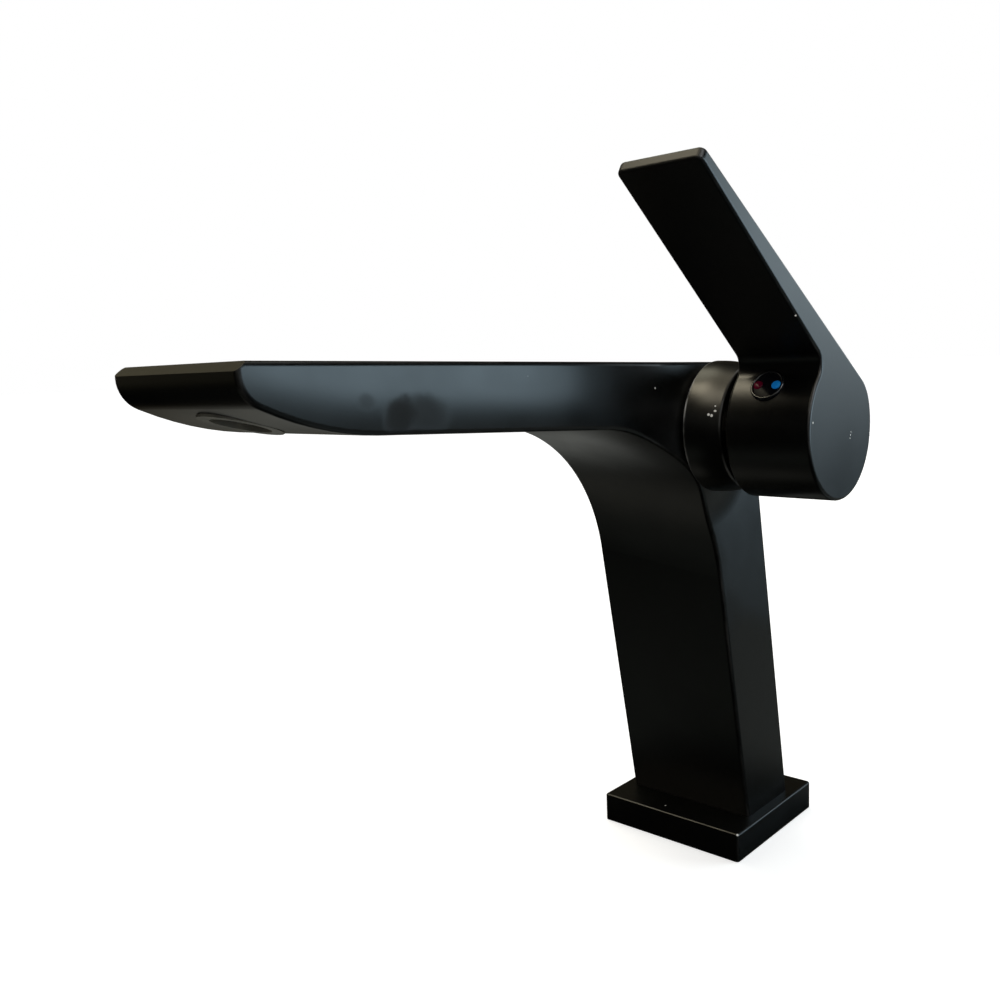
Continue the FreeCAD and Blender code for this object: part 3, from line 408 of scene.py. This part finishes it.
def rolledSides(tree, place):
    spot = place.outputs["Object"]
    back, above = inwards(90 - spout["frontLean"]), inwards(spout["underRise"])     # from the front, from below
    radius = spout["bendRadius"] * mm
    offset = vectorCalc(tree, "SUBTRACT", spot, Vector((0, *spout["bendCorner"])) * mm)
    depths = []
    for axis in (back, above):
        depth = calc(tree, "ADD", vectorCalc(tree, "DOT_PRODUCT", offset, axis), radius)
        depths.append(calc(tree, "MAXIMUM", depth, 0.0))
    reach = calc(tree, "SQRT", calc(tree, "ADD", *(times(tree, depth, depth) for depth in depths)))
    bend = calc(tree, "SUBTRACT", reach, radius)              # distance from the bend's edge
    chinAxis = inwards(spout["chinRise"])
    chinOffset = vectorCalc(tree, "SUBTRACT", spot, Vector((0, *spout["chinPoint"])) * mm)
    chin = vectorCalc(tree, "DOT_PRODUCT", chinOffset, chinAxis)      # distance from the chin's edge
    # the smaller of the two distances, with a soft change over
    blend = spout["chinBlend"] * mm
    gap = calc(tree, "SUBTRACT", chin, bend)
    share = calc(tree, "ADD", times(tree, gap, 0.5 / blend), 0.5)
    bendShare = calc(tree, "MAXIMUM", calc(tree, "MINIMUM", share, 1.0), 0.0)
    chinShare = calc(tree, "SUBTRACT", 1.0, bendShare)
    soft = times(tree, times(tree, bendShare, chinShare), blend)
    inset = calc(tree, "SUBTRACT", calc(tree, "SUBTRACT", chin, times(tree, gap, bendShare)), soft)
    # the normal leans outwards near the edge, on the flat sides only
    turn = fade(tree, inset, 0.0, spout["rollWidth"] * mm, spout["rollTurn"], 0)
    turn = times(tree, turn, fade(tree, sideways(tree, place), *spout["rollSide"]))
    bendTurn = calc(tree, "DIVIDE", times(tree, turn, bendShare), reach)
    amounts = [(times(tree, depth, bendTurn), axis) for depth, axis in zip(depths, (back, above))]
    amounts.append((times(tree, turn, chinShare), chinAxis))
    turned = place.outputs["Normal"]
    for amount, axis in amounts:
        turned = vectorCalc(tree, "ADD", turned, vectorCalc(tree, "SCALE", -axis, amount))
    return vectorCalc(tree, "NORMALIZE", turned)


def smearedSides(tree, place):  # only on the lever's side
    spot = place.outputs["Object"]
    along, across = inwards(90 + spout["smearRise"]), inwards(spout["smearRise"])
    ragged = fade(tree, noise(tree, spot, spout["smearMottle"], 3), *spout["smearBand"], *spout["smearRag"])
    clean = 1.0
    for y, z, halfLength, halfHeight, strength in spout["smears"]:
        offset = vectorCalc(tree, "SUBTRACT", spot, Vector((0, y, z)) * mm)
        far = times(tree, vectorCalc(tree, "DOT_PRODUCT", offset, along), 1 / (halfLength * mm))
        high = times(tree, vectorCalc(tree, "DOT_PRODUCT", offset, across), 1 / (halfHeight * mm))
        reach = calc(tree, "ADD", times(tree, far, far), times(tree, high, high))
        reach = times(tree, reach, ragged)
        clean = times(tree, clean, fade(tree, reach, 0, spout["smearReach"], 1 - strength, 1))
    other = fade(tree, split(tree, place.outputs["Normal"])[0], *spout["smearSide"], 1, 0)
    dull = fade(tree, calc(tree, "MAXIMUM", clean, other), 0, 1, 1, 0)
    return times(tree, times(tree, dull, dull), spout["smearRough"])


dress(satinPaint("bodyPaint", spout, sideEdge, rolledSides, smearedSides), "spout_body")


# handle: the blade's faces are duller than the skirt and the flat end

handle = {
    "axis": (-35.305, 134.902), "bladeStart": (20.0, 27.0), "bladeRough": 0.15, "bladeSide": (0.5, 0.9),
    "chips": [
        (61.5, -52.2, 137.3, 0.3), (61.5, -29.6, 133.4, 0.2), (61.5, -29.9, 132.6, 0.22),
        (61.5, -30.2, 131.8, 0.2), (61.1, -60.7, 163.1, 0.3),
    ],
    "wear": 0.08,
}


def dullBlade(tree, place):
    offset = vectorCalc(tree, "SUBTRACT", place.outputs["Object"], Vector((0, *handle["axis"])) * mm)
    reach = vectorCalc(tree, "LENGTH", vectorCalc(tree, "MULTIPLY", offset, (0, 1, 1)))
    start, end = handle["bladeStart"]
    blade = fade(tree, reach, start * mm, end * mm)
    dull = times(tree, blade, fade(tree, sideways(tree, place), *handle["bladeSide"], 1, 0))
    return fade(tree, dull, 0, 1, 0, handle["bladeRough"])


dress(satinPaint("handlePaint", handle, sideEdge, dull=dullBlade), "handle")


# collar: a painted highlight, a light line along the rim beside the body that fades out lower down, and a trace of
# wear on the outer rim

collar = {
    # the painted highlight line runs along x = rim; the next two entries give its width and the heights over which
    # it fades in, and wear scales it and the outer wear
    "rim": 25.3, "highlightWidth": (0.3, 0.8), "highlightLow": (124.0, 132.0), "outerWear": 0.08,
    "chips": [(32.6, -52.2, 139.2, 0.45), (33.4, -52.2, 139.0, 0.4), (34.2, -51.7, 140.2, 0.4),
              (34.0, -51.2, 141.4, 0.25)],
    "wear": 0.9,
}


def collarHighlightAndWear(tree, place):
    # a painted highlight: a thin light line along the rim where a reflection catches, joined with real wear on the
    # outer rim
    spot = split(tree, place.outputs["Object"])
    gap = calc(tree, "ABSOLUTE", calc(tree, "SUBTRACT", spot[0], collar["rim"] * mm))
    core, edge = collar["highlightWidth"]
    low, high = collar["highlightLow"]
    paintedHighlight = times(tree, fade(tree, gap, core * mm, edge * mm, 1, 0), fade(tree, spot[2], low * mm, high * mm))
    return calc(tree, "MAXIMUM", paintedHighlight, times(tree, sideEdge(tree, place), collar["outerWear"]))


# the painted highlight line takes the light colour of bare metal
dress(satinPaint("collarPaint", collar, collarHighlightAndWear, rubbed="bare"), "collar")


# plate: all its rounded edges, more rubbed towards the left

plate = {
    "rubbed": (-14.0, 6.0), "lessRubbed": 0.15, "edgeBand": (0.80, 0.95),
    "chips": [(-3.8, -20.7, 9.0, 0.3), (24.6, -24.6, 8.8, 0.4)], "wear": 0.22,
}


def plateEdge(tree, place):
    x, y, z = (calc(tree, "ABSOLUTE", part) for part in split(tree, place.outputs["Normal"]))
    flat = calc(tree, "MAXIMUM", calc(tree, "MAXIMUM", x, y), z)
    along = split(tree, place.outputs["Object"])[0]
    start, end = plate["rubbed"]
    rubbed = fade(tree, along, start * mm, end * mm, 1, plate["lessRubbed"])
    return times(tree, fade(tree, flat, *plate["edgeBand"], 1, 0), rubbed)


dress(satinPaint("platePaint", plate, plateEdge), "base_plate")
print("paint sprayed")


# the other finishes: two colours, roughness, then the size and depth of the relief in mm

finishes = {
    "blackGloss": {"pale": (0.006, 0.006, 0.007, 1), "dark": (0.002, 0.002, 0.003, 1), "rough": (0.12, 0.18),
                   "relief": (3.0, 0.004), "sheen": 0.04},
    "ringGloss": {"pale": (0.006, 0.006, 0.007, 1), "dark": (0.002, 0.002, 0.003, 1), "rough": (0.12, 0.18),
                  "relief": (3.0, 0.004), "sheen": 0.80},
    "redEnamel": {"pale": (0.12, 0.001, 0.018, 1), "dark": (0.07, 0.001, 0.011, 1), "rough": (0.10, 0.16),
                  "relief": (0.8, 0.004), "sheen": 0.10},
    "blueEnamel": {"pale": (0.015, 0.31, 0.80, 1), "dark": (0.006, 0.20, 0.64, 1), "rough": (0.10, 0.16),
                   "relief": (0.8, 0.004), "sheen": 0.12},
    "brass": {"pale": (0.75, 0.55, 0.26, 1), "dark": (0.60, 0.42, 0.18, 1), "rough": (0.29, 0.40),
              "relief": (0.35, 0.006), "metal": 1.0, "stretch": (1, 1, 0.12)},
    "steel": {"pale": (0.60, 0.60, 0.59, 1), "dark": (0.46, 0.46, 0.46, 1), "rough": (0.29, 0.40),
              "relief": (0.25, 0.004), "metal": 1.0, "stretch": (0.12, 1, 1)},
    "rubber": {"pale": (0.028, 0.028, 0.028, 1), "dark": (0.014, 0.014, 0.014, 1), "rough": (0.62, 0.80),
               "relief": (0.5, 0.02)},
    "ceramic": {"pale": (0.88, 0.87, 0.84, 1), "dark": (0.80, 0.78, 0.74, 1), "rough": (0.16, 0.24),
                "relief": (0.6, 0.002)},
    "whitePlastic": {"pale": (0.74, 0.74, 0.72, 1), "dark": (0.66, 0.66, 0.63, 1), "rough": (0.38, 0.50),
                     "relief": (0.4, 0.006)},
    "greyPlastic": {"pale": (0.075, 0.072, 0.056, 1), "dark": (0.050, 0.048, 0.038, 1), "rough": (0.34, 0.46),
                    "relief": (0.4, 0.006)},
}
mottleSize, mottleBand, grainBand = 6, (0.35, 0.65), (0.3, 0.7)


def finish(name):
    look = finishes[name]
    material, tree, shader, place = startMaterial(name)
    spot = place.outputs["Object"]
    cloud = fade(tree, noise(tree, spot, mottleSize, 4), *mottleBand)
    put(shader.inputs["Base Color"], mixColour(tree, cloud, look["dark"], look["pale"]))
    size, depth = look["relief"]
    grain = noise(tree, spot, size, 3, look.get("stretch"))
    put(shader.inputs["Roughness"], fade(tree, grain, *grainBand, *look["rough"]))
    put(shader.inputs["Normal"], bump(tree, grain, depth))
    shader.inputs["Metallic"].default_value = look.get("metal", 0.0)
    shader.inputs["Specular IOR Level"].default_value = look.get("sheen", 0.5)
    return material


made = {name: finish(name) for name in finishes}
dress(made["brass"], "inlet_block", "retaining_nut")
dress(made["steel"], "pivot_pin", "stem", "grub_screw")
dress(made["rubber"], "base_seal", "port_seals", "rotor_seal", "aerator_seal")
dress(made["ceramic"], "fixed_disc", "moving_disc")
dress(made["whitePlastic"], "cartridge_housing", "cartridge_base", "rotor", "disc_carrier")
dress(made["greyPlastic"], "aerator_shell", "aerator_screen", "aerator_core")
print("finishes mixed:", len(made))


# modelling helpers, with sizes in mm

shaping = {"sameHeight": 1e-6, "joinGap": 1e-7, "smoothAngle": 35}     # metres, metres, degrees


def applyPlace():
    bpy.ops.object.transform_apply(location=True, rotation=True, scale=True)


def editAll():
    bpy.ops.object.mode_set(mode="EDIT")
    bpy.ops.mesh.select_all(action="SELECT")


def isNear(value, target):
    return abs(value - target * mm) < shaping["sameHeight"]


def pick(piece, kind, height):  # in edit mode with only the faces or edges at this height selected
    bpy.ops.object.mode_set(mode="OBJECT")
    mesh = piece.data
    for group in (mesh.vertices, mesh.edges, mesh.polygons):
        group.foreach_set("select", [False] * len(group))
    if kind == "FACE":
        for face in mesh.polygons:
            face.select = isNear(face.center.z, height)
    else:
        for edge in mesh.edges:
            edge.select = all(isNear(mesh.vertices[corner].co.z, height) for corner in edge.vertices)
    bpy.ops.object.mode_set(mode="EDIT")
    bpy.ops.mesh.select_mode(type=kind)


def addRound(name, sides, radius, low, high):  # upright round bar between two heights
    bpy.ops.object.select_all(action="DESELECT")
    bpy.ops.mesh.primitive_cylinder_add(
        vertices=sides, radius=radius * mm, depth=(high - low) * mm, location=(0, 0, (high + low) / 2 * mm))
    piece = bpy.context.object
    piece.name = name
    applyPlace()
    return piece


def addProfile(name, corners, size, radius, height):  # upright outline beside the axis, to be turned round it
    bpy.ops.object.select_all(action="DESELECT")
    bpy.ops.mesh.primitive_circle_add(
        vertices=corners, radius=size * mm, location=(radius * mm, 0, height * mm),
        rotation=(math.radians(90), 0, 0))
    piece = bpy.context.object
    piece.name = name
    applyPlace()
    return piece


def windRound(piece, pitch, turns, steps):  # turns an outline round the axis, rising by the pitch each turn
    wind = piece.modifiers.new("wind", "SCREW")
    wind.axis, wind.screw_offset, wind.iterations = "Z", pitch * mm, turns
    wind.steps = wind.render_steps = steps
    bpy.ops.object.modifier_apply(modifier="wind")


def roundRim(piece, height, size, steps):
    pick(piece, "EDGE", height)
    bpy.ops.mesh.bevel(offset=size * mm, segments=steps, affect="EDGES")


def domeFace(piece, height, steps):  # each step goes inwards and upwards
    pick(piece, "FACE", height)
    for inset, rise in steps:
        bpy.ops.mesh.inset(thickness=inset * mm)
        bpy.ops.transform.translate(value=(0, 0, rise * mm))


def settle(piece, material, body, slot, *replaced):  # closes the piece and hands it to its body
    editAll()
    bpy.ops.mesh.remove_doubles(threshold=shaping["joinGap"])
    bpy.ops.mesh.normals_make_consistent(inside=False)
    bpy.ops.object.mode_set(mode="OBJECT")
    applyPlace()
    bpy.ops.object.shade_smooth_by_angle(angle=math.radians(shaping["smoothAngle"]))
    piece.data.materials.clear()
    piece.data.materials.append(material)
    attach(piece, body)
    if replaced:
        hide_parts(*replaced)


# index plug in the handle's skirt, with its polished rim and its red and blue dots: heights from the handle's axis

plug = {
    "along": 48.4, "turn": 52.0,                                   # place on the axis, and tilt from upright
    "sides": 72, "radius": 4.35, "seat": 16.2, "face": 19.0, "edge": 0.75, "edgeSteps": 6,
    "dome": [(1.1, 0.10), (1.2, 0.06)],
    "ringRadius": 4.05, "ringThickness": 0.38, "ringHeight": 19.05, "ringCorners": 16,
    "dotSides": 40, "dotRadius": 1.25, "dotSide": 2.45, "dotSeat": 18.7, "dotTop": 19.45, "dotEdge": 0.42,
    "dotSteps": 5, "dotDome": [(0.4, 0.07)],
}


def ontoHandle(piece, side):  # turns a piece modelled upright on the origin into the lever's skirt
    bpy.ops.object.mode_set(mode="OBJECT")
    piece.rotation_euler = (math.radians(plug["turn"]), 0, 0)
    piece.location = Vector((plug["along"] + side, *handle["axis"])) * mm


def makePlug():
    piece = addRound("plugButton", plug["sides"], plug["radius"], plug["seat"], plug["face"])
    roundRim(piece, plug["face"], plug["edge"], plug["edgeSteps"])
    domeFace(piece, plug["face"], plug["dome"])
    ontoHandle(piece, 0)
    settle(piece, made["blackGloss"], "lever", "black_plastic", "index_plug")


def makeRing():  # a round bead turned about the plug's axis
    piece = addProfile(
        "plugRing", plug["ringCorners"], plug["ringThickness"], plug["ringRadius"], plug["ringHeight"])
    windRound(piece, 0, 1, plug["sides"])
    ontoHandle(piece, 0)
    settle(piece, made["ringGloss"], "lever", "black_plastic")


def makeDot(name, side, look, slot, node):
    piece = addRound(name, plug["dotSides"], plug["dotRadius"], plug["dotSeat"], plug["dotTop"])
    roundRim(piece, plug["dotTop"], plug["dotEdge"], plug["dotSteps"])
    domeFace(piece, plug["dotTop"], plug["dotDome"])
    ontoHandle(piece, side)
    settle(piece, made[look], "lever", slot, node)


makePlug()
makeRing()
makeDot("redDot", -plug["dotSide"], "redEnamel", "red_mark", "hot_mark")
makeDot("blueDot", plug["dotSide"], "blueEnamel", "blue_mark", "cold_mark")
print("plug and dots made")


# cap screws under the foot

capScrew = {
    "places": [(5.6, 6.9), (-5.6, -5.1)], "sides": 48,
    "headRadius": 2.6, "headLow": 4.0, "headHigh": 6.2, "headEdge": 0.3, "headSteps": 3,
    "shankRadius": 1.5, "shankHigh": 29.0, "pointEdge": 0.4,
    "socketSides": 6, "socketRadius": 1.44, "socketDepth": 1.5,
}


def cutSocket(piece):
    look = capScrew
    below = look["headLow"] - 1
    key = addRound(
        "keyCutter", look["socketSides"], look["socketRadius"], below, look["headLow"] + look["socketDepth"])
    bpy.ops.object.select_all(action="DESELECT")
    piece.select_set(True)
    bpy.context.view_layer.objects.active = piece
    cut = piece.modifiers.new("socket", "BOOLEAN")
    cut.object, cut.operation, cut.solver = key, "DIFFERENCE", "EXACT"
    bpy.ops.object.modifier_apply(modifier="socket")
    bpy.data.objects.remove(key)


def makeCapScrews():
    look = capScrew
    piece = addRound("capScrews", look["sides"], look["headRadius"], look["headLow"], look["headHigh"])
    pick(piece, "FACE", look["headHigh"])
    bpy.ops.mesh.inset(thickness=(look["headRadius"] - look["shankRadius"]) * mm)
    shank = (look["shankHigh"] - look["headHigh"]) * mm
    bpy.ops.mesh.extrude_region_move(TRANSFORM_OT_translate={"value": (0, 0, shank)})
    roundRim(piece, look["shankHigh"], look["pointEdge"], 1)
    roundRim(piece, look["headLow"], look["headEdge"], look["headSteps"])
    bpy.ops.object.mode_set(mode="OBJECT")
    cutSocket(piece)
    first, second = (Vector((x * mm, y * mm, 0)) for x, y in look["places"])
    piece.location = first
    applyPlace()
    editAll()
    bpy.ops.mesh.duplicate_move(TRANSFORM_OT_translate={"value": second - first})
    settle(piece, made["steel"], "tap", "steel", "block_screws")


makeCapScrews()
print("cap screws made")


# ridges of the hose and stud threads

threads = {
    "hotThread": {"place": (-11.0, 0.9), "radius": 4.55, "ridge": 0.28, "pitch": 1.0, "low": 4.6, "turns": 11},
    "coldThread": {"place": (11.0, 0.9), "radius": 4.55, "ridge": 0.28, "pitch": 1.0, "low": 4.6, "turns": 11},
    "studThread": {"place": (0.0, 0.9), "radius": 3.45, "ridge": 0.34, "pitch": 1.25, "low": 4.7, "turns": 9},
}
ridgeCorners, stepsPerTurn = 4, 40


def makeThread(name):
    look = threads[name]
    piece = addProfile(name, ridgeCorners, look["ridge"], look["radius"], look["low"])
    windRound(piece, look["pitch"], look["turns"], stepsPerTurn)
    editAll()
    bpy.ops.mesh.fill_holes(sides=ridgeCorners)
    bpy.ops.object.mode_set(mode="OBJECT")
    x, y = look["place"]
    piece.location = (x * mm, y * mm, 0)
    settle(piece, made["brass"], "tap", "brass")


for name in threads:
    makeThread(name)
print("threads cut:", len(threads))
